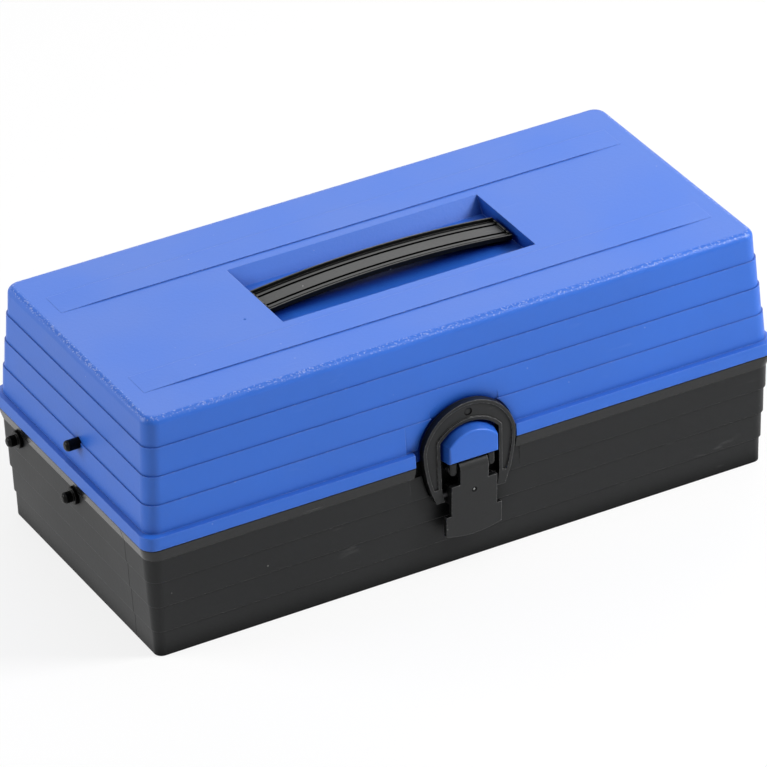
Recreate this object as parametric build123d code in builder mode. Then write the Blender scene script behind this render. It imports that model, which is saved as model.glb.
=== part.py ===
from build123d import *
import math
import os

# Tackle box: a stepped base, a hinged lid, a cantilever tray that rises with the lid,
# a pop-up handle in the lid's recess and an over-centre latch at the front.
# Millimetres. +X runs along the box, -Y is the latch side and +Z is up.
# The origin is the middle of the footprint, at the height of the floor it stands on.

# Box
box_length = 320.0
box_depth = 151.5
box_height = 119.95
parting_z = 58.25
parting_gap = 0.3
corner_radius = 6.5
half_length = box_length / 2
half_depth = box_depth / 2

# Base
base_top_z = parting_z - parting_gap / 2
base_wall = 2.4
flange_bottom_z = 51.8
flange_bottom_inset = 1.75
base_wall_inset = 2.05
base_step_levels = (40.0, 26.65, 13.3)
base_step = 0.6
base_slope = 0.03
foot_corner = 3.8
bottom_round = 0.5
tongue_height = 2.4
tongue_inset = 3.1
base_cavity_inset = base_wall_inset + base_wall
floor_cavity_inset = 7.7
rim_top_inset = 0.1
tongue_corner = corner_radius - 1.5
cavity_corner = corner_radius - 2.0
floor_corner = foot_corner - 1.3

# Lid
lid_bottom_z = parting_z + parting_gap / 2
lid_wall = 2.2
lid_flange_z = 64.5
lid_flange_inset = 0.25
lid_ledge_z = 65.1
lid_ledge_inset = 2.45
lid_cavity_inset = 4.3
lid_step_levels = (78.8, 92.4, 106.1)
lid_step = 0.5
lid_slope = 0.047
lid_top_round = 3.5
ledge_lip = 0.3
lid_rim_cavity_z = 62.9
lid_rim_cavity_inset = 2.6
lid_crown_z = 112.0
lid_crown_inset = 7.95
lid_crown_corner = corner_radius - 2.5
lid_ceiling_inset = 12.0
lid_ceiling_corner = corner_radius - 4.0
strip_half_length = 143.0
strip_ramp = 20.0
strip_height = 0.45
strip_inner_y = 32.0
strip_outer_y = 47.3
strip_root = 0.3
strip_lip = 0.05

# Recess for the handle
recess_half_length = 63.8
recess_half_width = 26.45
recess_depth = 7.3
recess_floor_half_width = 20.85
recess_floor_half_length = 63.5
recess_floor_z = box_height - recess_depth
recess_underside_z = recess_floor_z - lid_wall
tub_top_z = box_height - 1.0

# Handle
grip_half_length = 61.9
grip_width = 18.8
grip_apex_z = 120.65
grip_end_z = 117.0
grip_thickness = 3.2
grip_rise = grip_apex_z - grip_end_z
grip_radius = (grip_half_length**2 + grip_rise**2) / (2 * grip_rise)
grip_corner = 0.8
grip_rail = 0.7
grip_end_rail = 0.9
grip_face_drop = 1.1
outer_groove = {"y": 8.05, "half_width": 0.65, "depth": 1.8, "end_margin": 0.9}
inner_groove = {"y": 4.1, "half_width": 0.55, "depth": 1.8, "end_margin": 0.9}
grip_flank = 2.2
grip_undercut = 1.2
leg_x = 55.0
leg_length = 6.0
leg_width = 10.0
leg_bottom_z = 87.6
leg_top_z = grip_end_z - 1.5
leg_play = 0.5
leg_foot_chamfer = 1.0
handle_travel = 20.0
clip_length = 12.0
clip_width = 16.0
clip_thickness = 2.2
clip_corner = 1.5
clip_fit = 0.03
clip_stop_gap = 0.35
clip_top_z = recess_underside_z - handle_travel - clip_stop_gap

# Hinge at the back
hinge_y = half_depth + 3.25
hinge_z = parting_z
hinge_centres = (-100.0, 100.0)
knuckle_radius = 2.9
base_knuckle_half = 8.0
lid_knuckle_length = 8.0
knuckle_gap = 0.4
knuckle_root = 1.2
base_knuckle_drop = 5.0
lid_knuckle_rise = 4.5
knuckle_edge_gap = 0.1
hinge_pin_radius = 1.3
pin_play = 0.07
pin_chamfer = 0.3

# Pivots of the arms and links in the YZ plane
rear_pivot = (53.0, 48.8)
front_pivot = (-2.2, 48.8)
lid_pivot = (-6.5, 77.8)
lid_vector = (lid_pivot[0] - hinge_y, lid_pivot[1] - hinge_z)
arm_reach = math.hypot(*lid_vector)
arm_direction = (lid_vector[0] / arm_reach, lid_vector[1] / arm_reach)
tray_reach = 50.0
link_joint = (rear_pivot[0] + lid_vector[0], rear_pivot[1] + lid_vector[1])
tray_step = (tray_reach * arm_direction[0], tray_reach * arm_direction[1])
rear_tray_pivot = (rear_pivot[0] + tray_step[0], rear_pivot[1] + tray_step[1])
front_tray_pivot = (front_pivot[0] + tray_step[0], front_pivot[1] + tray_step[1])

# Arms, links and studs, measured along X from the middle of the box
arm_outer_x = 154.1
arm_thickness = 2.0
arm_width = 9.0
eye_radius = 5.5
link_outer_x = 151.7
link_thickness = 1.8
link_width = 8.0
link_eye_radius = 5.0
stud_radius = 2.6
neck_radius = 2.1
head_radius = 3.6
head_thickness = 1.05
head_gap = 0.05
rivet_head_thickness = 0.5
tray_head_radius = head_radius - 0.5
tray_washer_radius = head_radius - 0.2
stud_press_play = 0.05
running_play = 0.07
fixed_play = 0.02
collar_radius = 4.2
base_stud_root_x = half_length - base_wall_inset - 0.15
lid_stud_root_x = half_length - lid_ledge_inset - 0.6
stud_projection = 6.5
stud_dome = 1.5
collar_thickness = 2.0
collar_round = 0.4
spot_face_play = 0.1
spot_face_gap = 0.05
base_boss_x = 154.5
lid_boss_x = 152.1
base_boss_length = 2.0
lid_boss_length = 4.0
boss_radius = 5.0
lid_boss_radius = 4.5

# Tray
tray_half_length = 148.0
tray_half_depth = 57.0
tray_bottom_z = 54.0
tray_top_z = 81.5
tray_wall = 1.8
tray_corner = 3.0
partition = 1.6
partition_height = 22.0
rear_partitions = (-74.0, 0.0, 74.0)
divider_places = (-111.0, -74.0, -37.0, 0.0, 37.0, 74.0, 111.0)
dividers = {"left": -74.0, "middle": 0.0, "right": 74.0}
divider_thickness = 1.2
divider_height = 20.5
divider_side_gap = 0.3
divider_floor_gap = 0.05
guide_width = 1.2
guide_depth = 1.4
guide_gap = 1.8
guide_root = 0.2
partition_root = 1.0

# Latch
pocket_y = -71.6
base_pocket_x = (-28.9, 26.7)
base_pocket_depth = 0.3
base_pocket_bottom_z = 40.0
pad_inner_y = -69.4
pad_half = 31.0
pad_below_pocket = 4.0
pad_above_pocket = 1.5
base_pad_front_y = -half_depth + 4.3
lid_pad_front_y = -half_depth + 4.2
tongue_break_half = 33.0
lid_pocket_x = (-30.0, -10.0)
lid_pocket_y = -72.5
flange_cut_x = (-26.7, 24.3)
loop_surround_play = 0.9
relief_half = 17.3
relief_y = -71.95
lever_pivot = (-76.2, 52.6)
loop_pivot = (-74.8, 39.4)
latch_pin_radius = 1.5
ear_inner_x = 7.5
ear_outer_x = 11.4
ear_bottom_z = 49.95
ear_top_z = 57.0
ear_front_y = -79.0
ear_round = 1.1
ear_root = 0.5
lug_front_y = -80.6
lug_bottom_z = 57.5
lug_back = {"half_width": 14.2, "shoulder_z": 66.8, "crown_z": 74.4}
lug_front = {"half_width": 12.2, "shoulder_z": 65.8, "crown_z": 71.6}
lug_corner = 3.0
lug_wall = 1.5
lug_edge_round = 0.9
lever_knuckle_radius = 4.3
tongue_half = 7.1
lever_half = 11.5
tab_half = 14.0
shoulder_z = 45.4
notch_z = 29.8
tab_corner_z = 19.5
tab_bottom_z = 17.2
lever_front_top_y = -80.5
lever_front_bottom_y = -78.3
lever_plate = 2.3
cheek_width = 1.9
cheek_back_y = -73.2
cheek_low_z = 35.0
cheek_high_z = 44.4
cheek_round = 1.2
gate_mark_z = 40.9
gate_mark_radius = 0.8
trunnion_radius = 1.1
trunnion_end_x = 17.0
trunnion_chamfer = 0.25
loop_front_y = -76.6
loop_back_y = -73.0
loop_channel_depth = 0.7
loop_rim = 1.6
loop_step_z = 43.9
loop_top_z = 84.4
loop_shoulder = (23.3, 64.0)
loop_waist = (22.1, 52.5)
loop_ankle = (20.1, 44.0)
loop_foot_z = 36.8
loop_foot_x = (13.4, 17.4)
loop_inner_ankle = (14.6, 44.0)
loop_inner_shoulder = (14.9, 67.3)
loop_inner_top_z = 74.4
ejector_mark_z = 79.0
ejector_mark_radius = 1.7
mark_depth = 0.35

# Distance by which a cutting shape runs past the face it cuts
past = 1.0

os.makedirs("parts", exist_ok=True)


def outline(z, inset, corner=corner_radius):
    """Plan of the box at height z, pulled in by inset on every side."""
    with BuildSketch(Plane.XY.offset(z)) as plan:
        RectangleRounded(box_length - 2 * inset, box_depth - 2 * inset, corner)
    return plan.sketch


def base_corner(z):
    """Radius of the base's upright corners at height z, tighter towards the foot."""
    return foot_corner + (corner_radius - foot_corner) * z / flange_bottom_z


def rectangle(z, half_x, half_y):
    """Plain rectangle at height z, given by its half sizes."""
    with BuildSketch(Plane.XY.offset(z)) as plan:
        Rectangle(2 * half_x, 2 * half_y)
    return plan.sketch


def stepped_bands(start, levels, end_z, step, slope):
    """Drafted bands from the rim outwards, each ending in a small step at one of the levels."""
    bands = []
    z, inset = start
    for level in (*levels, end_z):
        far_inset = inset + slope * abs(level - z)
        bands.append(((z, inset), (level, far_inset)))
        z, inset = level, far_inset + step
    return bands


def slab(low, high, mode=Mode.ADD):
    """Box between two corners."""
    with Locations(tuple((a + b) / 2 for a, b in zip(low, high))):
        Box(*[b - a for a, b in zip(low, high)], mode=mode)


def rod(radius, x_from, x_to, centre, mode=Mode.ADD):
    """Cylinder along X, centred on a point of the YZ plane."""
    with Locations(Location(((x_from + x_to) / 2, *centre), (0, 90, 0))):
        Cylinder(radius, abs(x_to - x_from), mode=mode)


def at_x(edges, x):
    """Circular edges that stand at a distance x from the middle of the box, on either side."""
    return edges.filter_by(GeomType.CIRCLE).filter_by(lambda e: abs(abs(e.arc_center.X) - x) < 0.01)


def unchanged(point):
    """The point itself."""
    return point


def mirrored(point):
    """The same point on the other side of the middle of the box."""
    return (-point[0], point[1])


def save(builder, name):
    """Labels a finished piece and writes it under its own name."""
    builder.part.label = name
    export_step(builder.part, f"parts/{name}.step")


def loop_surround(low_z, high_z):
    """Filled outline of the latch loop with play round it, between two heights."""
    with BuildSketch(Plane.XZ.offset(-pocket_y)) as surround:
        with BuildLine():
            ThreePointArc(loop_shoulder, (0, loop_top_z), mirrored(loop_shoulder))
            for place in (unchanged, mirrored):
                ThreePointArc(place(loop_shoulder), place(loop_waist), place(loop_ankle))
                Line(place(loop_ankle), place((loop_foot_x[1], loop_foot_z)))
            Line((loop_foot_x[1], loop_foot_z), mirrored((loop_foot_x[1], loop_foot_z)))
        make_face()
        offset(amount=loop_surround_play, mode=Mode.REPLACE)
        with Locations((0, (low_z + high_z) / 2)):
            Rectangle(box_depth, high_z - low_z, mode=Mode.INTERSECT)
    return surround.sketch


surround_reach = half_depth + pocket_y + past

# Base shell: stepped walls, sloping rim flange, tongue, ears for the latch and hinge knuckles
base_bands = stepped_bands(
    (flange_bottom_z, base_wall_inset), base_step_levels, 0.0, base_step, base_slope
)
with BuildPart() as base_shell:
    for low, high in base_bands:
        loft([outline(*low, base_corner(low[0])), outline(*high, base_corner(high[0]))], ruled=True)
    loft([outline(flange_bottom_z, flange_bottom_inset), outline(base_top_z, rim_top_inset)], ruled=True)
    fillet(base_shell.edges().group_by(Axis.Z)[0], radius=bottom_round)
    loft(
        [
            outline(base_top_z, tongue_inset, tongue_corner),
            outline(base_top_z + tongue_height, tongue_inset + rim_top_inset, tongue_corner),
        ],
        ruled=True,
    )
    loft(
        [
            outline(base_wall, floor_cavity_inset, floor_corner),
            outline(flange_bottom_z, base_cavity_inset, cavity_corner),
        ],
        ruled=True,
        mode=Mode.SUBTRACT,
    )
    loft(
        [
            outline(flange_bottom_z, base_cavity_inset, cavity_corner),
            outline(base_top_z + tongue_height, base_cavity_inset, cavity_corner),
        ],
        ruled=True,
        mode=Mode.SUBTRACT,
    )
    # Inside pad behind the latch, the break in the tongue and the cut through the flange
    slab(
        (-pad_half, base_pad_front_y, base_pocket_bottom_z - pad_below_pocket),
        (pad_half, pad_inner_y, base_top_z),
    )
    slab(
        (-tongue_break_half, -half_depth, base_top_z),
        (tongue_break_half, pad_inner_y + past, base_top_z + tongue_height + past),
        mode=Mode.SUBTRACT,
    )
    slab(
        (flange_cut_x[0], -half_depth - past, flange_bottom_z),
        (flange_cut_x[1], pocket_y, base_top_z + past),
        mode=Mode.SUBTRACT,
    )
    # Shallow pocket in the wall below the flange, and a deep one behind the loop
    slab(
        (base_pocket_x[0], -half_depth - past, base_pocket_bottom_z),
        (base_pocket_x[1], -half_depth + base_wall_inset + base_pocket_depth, flange_bottom_z),
        mode=Mode.SUBTRACT,
    )
    extrude(
        loop_surround(base_pocket_bottom_z, base_top_z + past), amount=surround_reach, mode=Mode.SUBTRACT
    )
    # Ears with rounded lower ends carry the lever's pin
    ear_radius = (ear_outer_x - ear_inner_x) / 2
    for side in (-1, 1):
        ear_x = side * (ear_inner_x + ear_outer_x) / 2
        with BuildSketch(Plane.XZ.offset(-pocket_y - ear_root)):
            with Locations((ear_x, (ear_bottom_z + ear_radius + ear_top_z) / 2)):
                Rectangle(2 * ear_radius, ear_top_z - ear_bottom_z - ear_radius)
            with Locations((ear_x, ear_bottom_z + ear_radius)):
                Circle(ear_radius)
        extrude(amount=pocket_y - ear_front_y + ear_root)
    ear_fronts = base_shell.faces().filter_by(Axis.Y).group_by(Axis.Y)[0]
    fillet(ear_fronts.edges(), radius=ear_round)
    pin_hole = latch_pin_radius + stud_press_play
    rod(pin_hole, -ear_outer_x - past, ear_outer_x + past, lever_pivot, mode=Mode.SUBTRACT)
    # Hinge knuckles
    for centre in hinge_centres:
        slab(
            (centre - base_knuckle_half, half_depth - knuckle_root, hinge_z - base_knuckle_drop),
            (centre + base_knuckle_half, hinge_y, base_top_z - knuckle_edge_gap),
        )
        rod(knuckle_radius, centre - base_knuckle_half, centre + base_knuckle_half, (hinge_y, hinge_z))
        rod(
            hinge_pin_radius + pin_play,
            centre - base_knuckle_half - past,
            centre + base_knuckle_half + past,
            (hinge_y, hinge_z),
            mode=Mode.SUBTRACT,
        )
    # Bosses, spot faces and holes for the arm studs
    for side in (-1, 1):
        for pivot in (rear_pivot, front_pivot):
            outside = side * (half_length + past)
            spot_face = collar_radius + spot_face_play
            stud_hole = stud_radius + stud_press_play
            rod(boss_radius, side * base_boss_x, side * (base_boss_x + base_boss_length), pivot)
            rod(spot_face, side * base_stud_root_x, outside, pivot, mode=Mode.SUBTRACT)
            rod(stud_hole, side * (base_boss_x - past), outside, pivot, mode=Mode.SUBTRACT)
save(base_shell, "base_shell")


def lug_outline(y, half_width, shoulder_z, crown_z, wall=0.0):
    """Section of the latch lug at y: straight sides under an arched crown, less a wall."""
    side_x = half_width - wall
    top_z = shoulder_z - wall
    foot_z = lug_bottom_z - wall
    with BuildSketch(Plane.XZ.offset(-y)) as section:
        with BuildLine():
            Polyline((-side_x, top_z), (-side_x, foot_z), (side_x, foot_z), (side_x, top_z))
            ThreePointArc((side_x, top_z), (0, crown_z - wall), (-side_x, top_z))
        make_face()
        shoulders = section.vertices().filter_by(lambda v: abs(v.Z - top_z) < 0.01)
        fillet(shoulders, radius=lug_corner - wall)
    return section.sketch


# Lid shell: stepped walls, ledge above the rim, strips on top, handle recess and latch lug
lid_bands = stepped_bands(
    (lid_ledge_z, lid_ledge_inset), lid_step_levels, box_height, lid_step, lid_slope
)
with BuildPart() as lid_shell:
    loft([outline(lid_bottom_z, 0), outline(lid_flange_z, lid_flange_inset)], ruled=True)
    ledge = outline(lid_ledge_z, lid_ledge_inset - ledge_lip)
    loft([outline(lid_flange_z, lid_flange_inset), ledge], ruled=True)
    for low, high in lid_bands:
        loft([outline(*low), outline(*high)], ruled=True)
    fillet(lid_shell.edges().group_by(Axis.Z)[-1], radius=lid_top_round)
    loft(
        [
            outline(lid_bottom_z, lid_rim_cavity_inset, tongue_corner),
            outline(lid_rim_cavity_z, lid_rim_cavity_inset, tongue_corner),
        ],
        ruled=True,
        mode=Mode.SUBTRACT,
    )
    loft(
        [
            outline(lid_rim_cavity_z, lid_cavity_inset, cavity_corner),
            outline(lid_crown_z, lid_crown_inset, lid_crown_corner),
        ],
        ruled=True,
        mode=Mode.SUBTRACT,
    )
    loft(
        [
            outline(lid_crown_z, lid_crown_inset, lid_crown_corner),
            outline(box_height - lid_wall, lid_ceiling_inset, lid_ceiling_corner),
        ],
        ruled=True,
        mode=Mode.SUBTRACT,
    )
    # Handle recess: a tub hung in the cavity, then its tapered pocket
    tub_floor = rectangle(
        recess_underside_z, recess_floor_half_length + lid_wall, recess_floor_half_width + lid_wall
    )
    tub_rim = rectangle(tub_top_z, recess_half_length + lid_wall, recess_half_width + lid_wall)
    loft([tub_floor, tub_rim], ruled=True)
    pocket_floor = rectangle(recess_floor_z, recess_floor_half_length, recess_floor_half_width)
    pocket_mouth = rectangle(box_height, recess_half_length, recess_half_width)
    loft([pocket_floor, pocket_mouth], ruled=True, mode=Mode.SUBTRACT)
    for side in (-1, 1):
        slab(
            (side * leg_x - leg_length / 2 - leg_play, -leg_width / 2 - leg_play, recess_underside_z - past),
            (side * leg_x + leg_length / 2 + leg_play, leg_width / 2 + leg_play, recess_floor_z + past),
            mode=Mode.SUBTRACT,
        )
    # Raised strips with ends that ramp down into the top
    for middle_y in (-(strip_inner_y + strip_outer_y) / 2, (strip_inner_y + strip_outer_y) / 2):
        with BuildSketch(Plane.XZ.offset(-middle_y)):
            with BuildLine():
                Polyline(
                    (-strip_half_length, box_height - strip_root),
                    (-strip_half_length, box_height + strip_lip),
                    (-strip_half_length + strip_ramp, box_height + strip_height),
                    (strip_half_length - strip_ramp, box_height + strip_height),
                    (strip_half_length, box_height + strip_lip),
                    (strip_half_length, box_height - strip_root),
                    close=True,
                )
            make_face()
        extrude(amount=(strip_outer_y - strip_inner_y) / 2, both=True)
    # Inside pad behind the latch, the cut through the flange, the pockets and the loop's relief
    slab(
        (-pad_half, lid_pad_front_y, lid_bottom_z),
        (pad_half, pad_inner_y, lid_step_levels[0] + pad_above_pocket),
    )
    slab(
        (flange_cut_x[0], -half_depth - past, lid_bottom_z - past),
        (flange_cut_x[1], pocket_y, lid_ledge_z),
        mode=Mode.SUBTRACT,
    )
    slab(
        (lid_pocket_x[0], -half_depth - past, lid_ledge_z),
        (lid_pocket_x[1], lid_pocket_y, lid_step_levels[0]),
        mode=Mode.SUBTRACT,
    )
    extrude(loop_surround(lid_ledge_z, lid_step_levels[0]), amount=surround_reach, mode=Mode.SUBTRACT)
    slab(
        (-relief_half, -half_depth - past, lid_step_levels[0]),
        (relief_half, relief_y, lid_step_levels[1]),
        mode=Mode.SUBTRACT,
    )
    # Lug that the loop hooks over: a D shape that flares towards the lid, cored from below
    loft([lug_outline(pocket_y, **lug_back), lug_outline(lug_front_y, **lug_front)], ruled=True)
    lug_face = lid_shell.faces().filter_by(Axis.Y).sort_by(Axis.Y)[0]
    fillet(lug_face.edges(), radius=lug_edge_round)
    core_back = lug_outline(pocket_y, **lug_back, wall=lug_wall)
    core_front = lug_outline(lug_front_y + lug_wall, **lug_front, wall=lug_wall)
    loft([core_back, core_front], ruled=True, mode=Mode.SUBTRACT)
    # Hinge knuckles, one each side of the base's
    for centre in hinge_centres:
        for side in (-1, 1):
            near = centre + side * (base_knuckle_half + knuckle_gap)
            far = near + side * lid_knuckle_length
            slab(
                (min(near, far), half_depth - knuckle_root, lid_bottom_z + knuckle_edge_gap),
                (max(near, far), hinge_y, hinge_z + lid_knuckle_rise),
            )
            rod(knuckle_radius, near, far, (hinge_y, hinge_z))
            pin_hole = hinge_pin_radius + pin_play
            rod(pin_hole, near - side * past, far + side * past, (hinge_y, hinge_z), mode=Mode.SUBTRACT)
    # Bosses and holes for the link studs
    for side in (-1, 1):
        outside = side * (half_length + past)
        stud_hole = stud_radius + stud_press_play
        rod(lid_boss_radius, side * lid_boss_x, side * (lid_boss_x + lid_boss_length), lid_pivot)
        rod(stud_hole, side * (lid_boss_x - past), outside, lid_pivot, mode=Mode.SUBTRACT)
save(lid_shell, "lid_shell")

# Hinge pins, one for each pair of knuckles
pin_half = base_knuckle_half + knuckle_gap + lid_knuckle_length
for name, centre in (("hinge_pin_left", hinge_centres[0]), ("hinge_pin_right", hinge_centres[1])):
    with BuildPart() as hinge_pin:
        rod(hinge_pin_radius, centre - pin_half, centre + pin_half, (hinge_y, hinge_z))
        chamfer(hinge_pin.edges().filter_by(GeomType.CIRCLE), length=pin_chamfer)
    save(hinge_pin, name)


def grip_band(top_lift, bottom_lift, half_length, half_width, mode=Mode.ADD, middle_y=0.0):
    """Arched strip of the grip between two levels measured from its top surface."""
    arch_z = grip_apex_z - grip_radius
    ends = []
    for lift in (top_lift, bottom_lift):
        radius = grip_radius + lift
        ends.append((radius, arch_z + math.sqrt(radius**2 - half_length**2)))
    with BuildSketch(Plane.XZ.offset(-middle_y)) as side_view:
        with BuildLine():
            ThreePointArc((-half_length, ends[0][1]), (0, arch_z + ends[0][0]), (half_length, ends[0][1]))
            Line((half_length, ends[0][1]), (half_length, ends[1][1]))
            ThreePointArc((half_length, ends[1][1]), (0, arch_z + ends[1][0]), (-half_length, ends[1][1]))
            Line((-half_length, ends[1][1]), (-half_length, ends[0][1]))
        make_face()
    extrude(side_view.sketch, amount=half_width, both=True, mode=mode)


# Handle: an arched grip with a raised rim, ribs and grooves along it, on two legs
with BuildPart() as carry_handle:
    grip_band(0, -grip_thickness, grip_half_length, grip_width / 2)
    fillet(carry_handle.edges().filter_by(Axis.Z), radius=grip_corner)
    face_half_length = grip_half_length - grip_end_rail
    face_half_width = grip_width / 2 - grip_rail
    grip_band(past, -grip_face_drop, face_half_length, face_half_width, mode=Mode.SUBTRACT)
    for side in (-1, 1):
        for groove in (outer_groove, inner_groove):
            grip_band(
                0,
                -groove["depth"],
                grip_half_length - groove["end_margin"],
                groove["half_width"],
                mode=Mode.SUBTRACT,
                middle_y=side * groove["y"],
            )
        # Lower edge drawn in under the flank
        grip_band(
            -grip_flank,
            -grip_thickness - past,
            grip_half_length + past,
            (grip_undercut + past) / 2,
            mode=Mode.SUBTRACT,
            middle_y=side * (grip_width + past - grip_undercut) / 2,
        )
    for side in (-1, 1):
        slab(
            (side * leg_x - leg_length / 2, -leg_width / 2, leg_bottom_z),
            (side * leg_x + leg_length / 2, leg_width / 2, leg_top_z),
        )
    chamfer(carry_handle.edges().group_by(Axis.Z)[0], length=leg_foot_chamfer)
save(carry_handle, "carry_handle")

# Stop clips pushed on the feet of the handle's legs, under the recess
with BuildPart() as handle_stop_clips:
    for side in (-1, 1):
        slab(
            (side * leg_x - clip_length / 2, -clip_width / 2, clip_top_z - clip_thickness),
            (side * leg_x + clip_length / 2, clip_width / 2, clip_top_z),
        )
    fillet(handle_stop_clips.edges().filter_by(Axis.Z), radius=clip_corner)
    slot_half_length = leg_length / 2 + clip_fit
    slot_half_width = leg_width / 2 + clip_fit
    for side in (-1, 1):
        slab(
            (side * leg_x - slot_half_length, -slot_half_width, clip_top_z - clip_thickness - past),
            (side * leg_x + slot_half_length, slot_half_width, clip_top_z + past),
            mode=Mode.SUBTRACT,
        )
save(handle_stop_clips, "handle_stop_clips")

# Latch lever: a plate with a tongue, a pull tab, a knuckle and two cheeks for the loop's pins
with BuildPart() as latch_lever:
    with BuildSketch(Plane.YZ):
        with BuildLine():
            Polyline(
                (lever_front_top_y, lever_pivot[1]),
                (lever_front_bottom_y, tab_bottom_z - past),
                (lever_front_bottom_y + lever_plate, tab_bottom_z - past),
                (lever_front_top_y + lever_plate, lever_pivot[1]),
                close=True,
            )
        make_face()
    extrude(amount=tab_half + past, both=True)
    with BuildSketch(Plane.XZ):
        with BuildLine():
            ThreePointArc((-tab_half, tab_corner_z), (0, tab_bottom_z), (tab_half, tab_corner_z))
            Polyline(
                (tab_half, tab_corner_z),
                (tab_half, notch_z),
                (lever_half, notch_z),
                (lever_half, shoulder_z),
                (tongue_half, shoulder_z),
                (tongue_half, lever_pivot[1]),
                (-tongue_half, lever_pivot[1]),
                (-tongue_half, shoulder_z),
                (-lever_half, shoulder_z),
                (-lever_half, notch_z),
                (-tab_half, notch_z),
                (-tab_half, tab_corner_z),
            )
        make_face()
    extrude(amount=box_depth, mode=Mode.INTERSECT)
    rod(lever_knuckle_radius, -tongue_half, tongue_half, lever_pivot)
    for side in (-1, 1):
        cheek_x = side * (lever_half - cheek_width)
        slab(
            (min(cheek_x, side * lever_half), lever_front_top_y + lever_plate, cheek_low_z),
            (max(cheek_x, side * lever_half), cheek_back_y, cheek_high_z),
        )
    fillet(latch_lever.edges().filter_by(Axis.X).group_by(Axis.Y)[-1], radius=cheek_round)
    pin_hole = latch_pin_radius + pin_play
    rod(pin_hole, -tongue_half - past, tongue_half + past, lever_pivot, mode=Mode.SUBTRACT)
    trunnion_hole = trunnion_radius + fixed_play
    rod(trunnion_hole, -lever_half - past, lever_half + past, loop_pivot, mode=Mode.SUBTRACT)
    # Small round mark that the mould's gate leaves on the face
    face_lean = (lever_front_bottom_y - lever_front_top_y) / (lever_pivot[1] - tab_bottom_z + past)
    gate_mark_y = lever_front_top_y + face_lean * (lever_pivot[1] - gate_mark_z)
    with Locations(Location((0, gate_mark_y, gate_mark_z), (90, 0, 0))):
        Cylinder(gate_mark_radius, 2 * mark_depth, mode=Mode.SUBTRACT)
save(latch_lever, "latch_lever")

# Pin through the ears and the lever's knuckle
with BuildPart() as latch_pin:
    rod(latch_pin_radius, -ear_outer_x, ear_outer_x, lever_pivot)
    chamfer(latch_pin.edges().filter_by(GeomType.CIRCLE), length=pin_chamfer)
save(latch_pin, "latch_pin")

# Short pins that join the loop's feet to the lever's cheeks
with BuildPart() as loop_pivot_pins:
    for side in (-1, 1):
        rod(trunnion_radius, side * (lever_half - cheek_width), side * trunnion_end_x, loop_pivot)
    chamfer(loop_pivot_pins.edges().filter_by(GeomType.CIRCLE), length=trunnion_chamfer)
save(loop_pivot_pins, "loop_pivot_pins")

# Latch loop: a horseshoe round the lug, dished on its face, with feet that hold the pins
with BuildPart() as latch_loop:
    with BuildSketch(Plane.XZ.offset(-loop_back_y)) as horseshoe:
        with BuildLine():
            ThreePointArc(loop_shoulder, (0, loop_top_z), mirrored(loop_shoulder))
            ThreePointArc(loop_inner_shoulder, (0, loop_inner_top_z), mirrored(loop_inner_shoulder))
            for place in (unchanged, mirrored):
                ThreePointArc(place(loop_shoulder), place(loop_waist), place(loop_ankle))
                Polyline(
                    place(loop_ankle),
                    place((loop_foot_x[1], loop_foot_z)),
                    place((loop_foot_x[0], loop_foot_z)),
                    place(loop_inner_ankle),
                    place(loop_inner_shoulder),
                )
        make_face()
    extrude(amount=loop_back_y - loop_front_y)
    with BuildSketch(Plane.XZ.offset(-loop_front_y)):
        add(horseshoe.sketch.moved(Location((0, loop_front_y - loop_back_y, 0))))
        offset(amount=-loop_rim, kind=Kind.INTERSECTION, mode=Mode.REPLACE)
        with Locations((0, loop_step_z / 2)):
            Rectangle(box_depth, loop_step_z, mode=Mode.SUBTRACT)
    extrude(amount=-loop_channel_depth, mode=Mode.SUBTRACT)
    # Small round mark that an ejector pin leaves on the dished face
    with Locations(Location((0, loop_front_y + loop_channel_depth, ejector_mark_z), (90, 0, 0))):
        Cylinder(ejector_mark_radius, 2 * mark_depth, mode=Mode.SUBTRACT)
    rod(
        trunnion_radius + running_play,
        -loop_shoulder[0],
        loop_shoulder[0],
        loop_pivot,
        mode=Mode.SUBTRACT,
    )
save(latch_loop, "latch_loop")

# Studs pressed through the base ends: domed outside, a collar on the wall, a head past the arm
with BuildPart() as base_pivot_studs:
    tip_x = base_stud_root_x + stud_projection
    collar_x = base_stud_root_x + collar_thickness
    head_x = arm_outer_x - arm_thickness - head_gap
    for side in (-1, 1):
        for pivot in (rear_pivot, front_pivot):
            rod(stud_radius, side * base_boss_x, side * tip_x, pivot)
            rod(collar_radius, side * (base_stud_root_x + spot_face_gap), side * collar_x, pivot)
            rod(neck_radius, side * head_x, side * base_boss_x, pivot)
            rod(head_radius, side * head_x, side * (head_x - head_thickness), pivot)
    fillet(at_x(base_pivot_studs.edges(), tip_x), radius=stud_dome)
    fillet(at_x(base_pivot_studs.edges(), collar_x), radius=collar_round)
save(base_pivot_studs, "base_pivot_studs")

# Studs through the lid ends carry the links
with BuildPart() as lid_pivot_studs:
    tip_x = lid_stud_root_x + stud_projection
    head_x = link_outer_x - link_thickness - head_gap
    for side in (-1, 1):
        rod(stud_radius, side * lid_boss_x, side * tip_x, lid_pivot)
        rod(neck_radius, side * head_x, side * lid_boss_x, lid_pivot)
        rod(head_radius, side * head_x, side * (head_x - head_thickness), lid_pivot)
    fillet(at_x(lid_pivot_studs.edges(), tip_x), radius=stud_dome)
save(lid_pivot_studs, "lid_pivot_studs")


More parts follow.
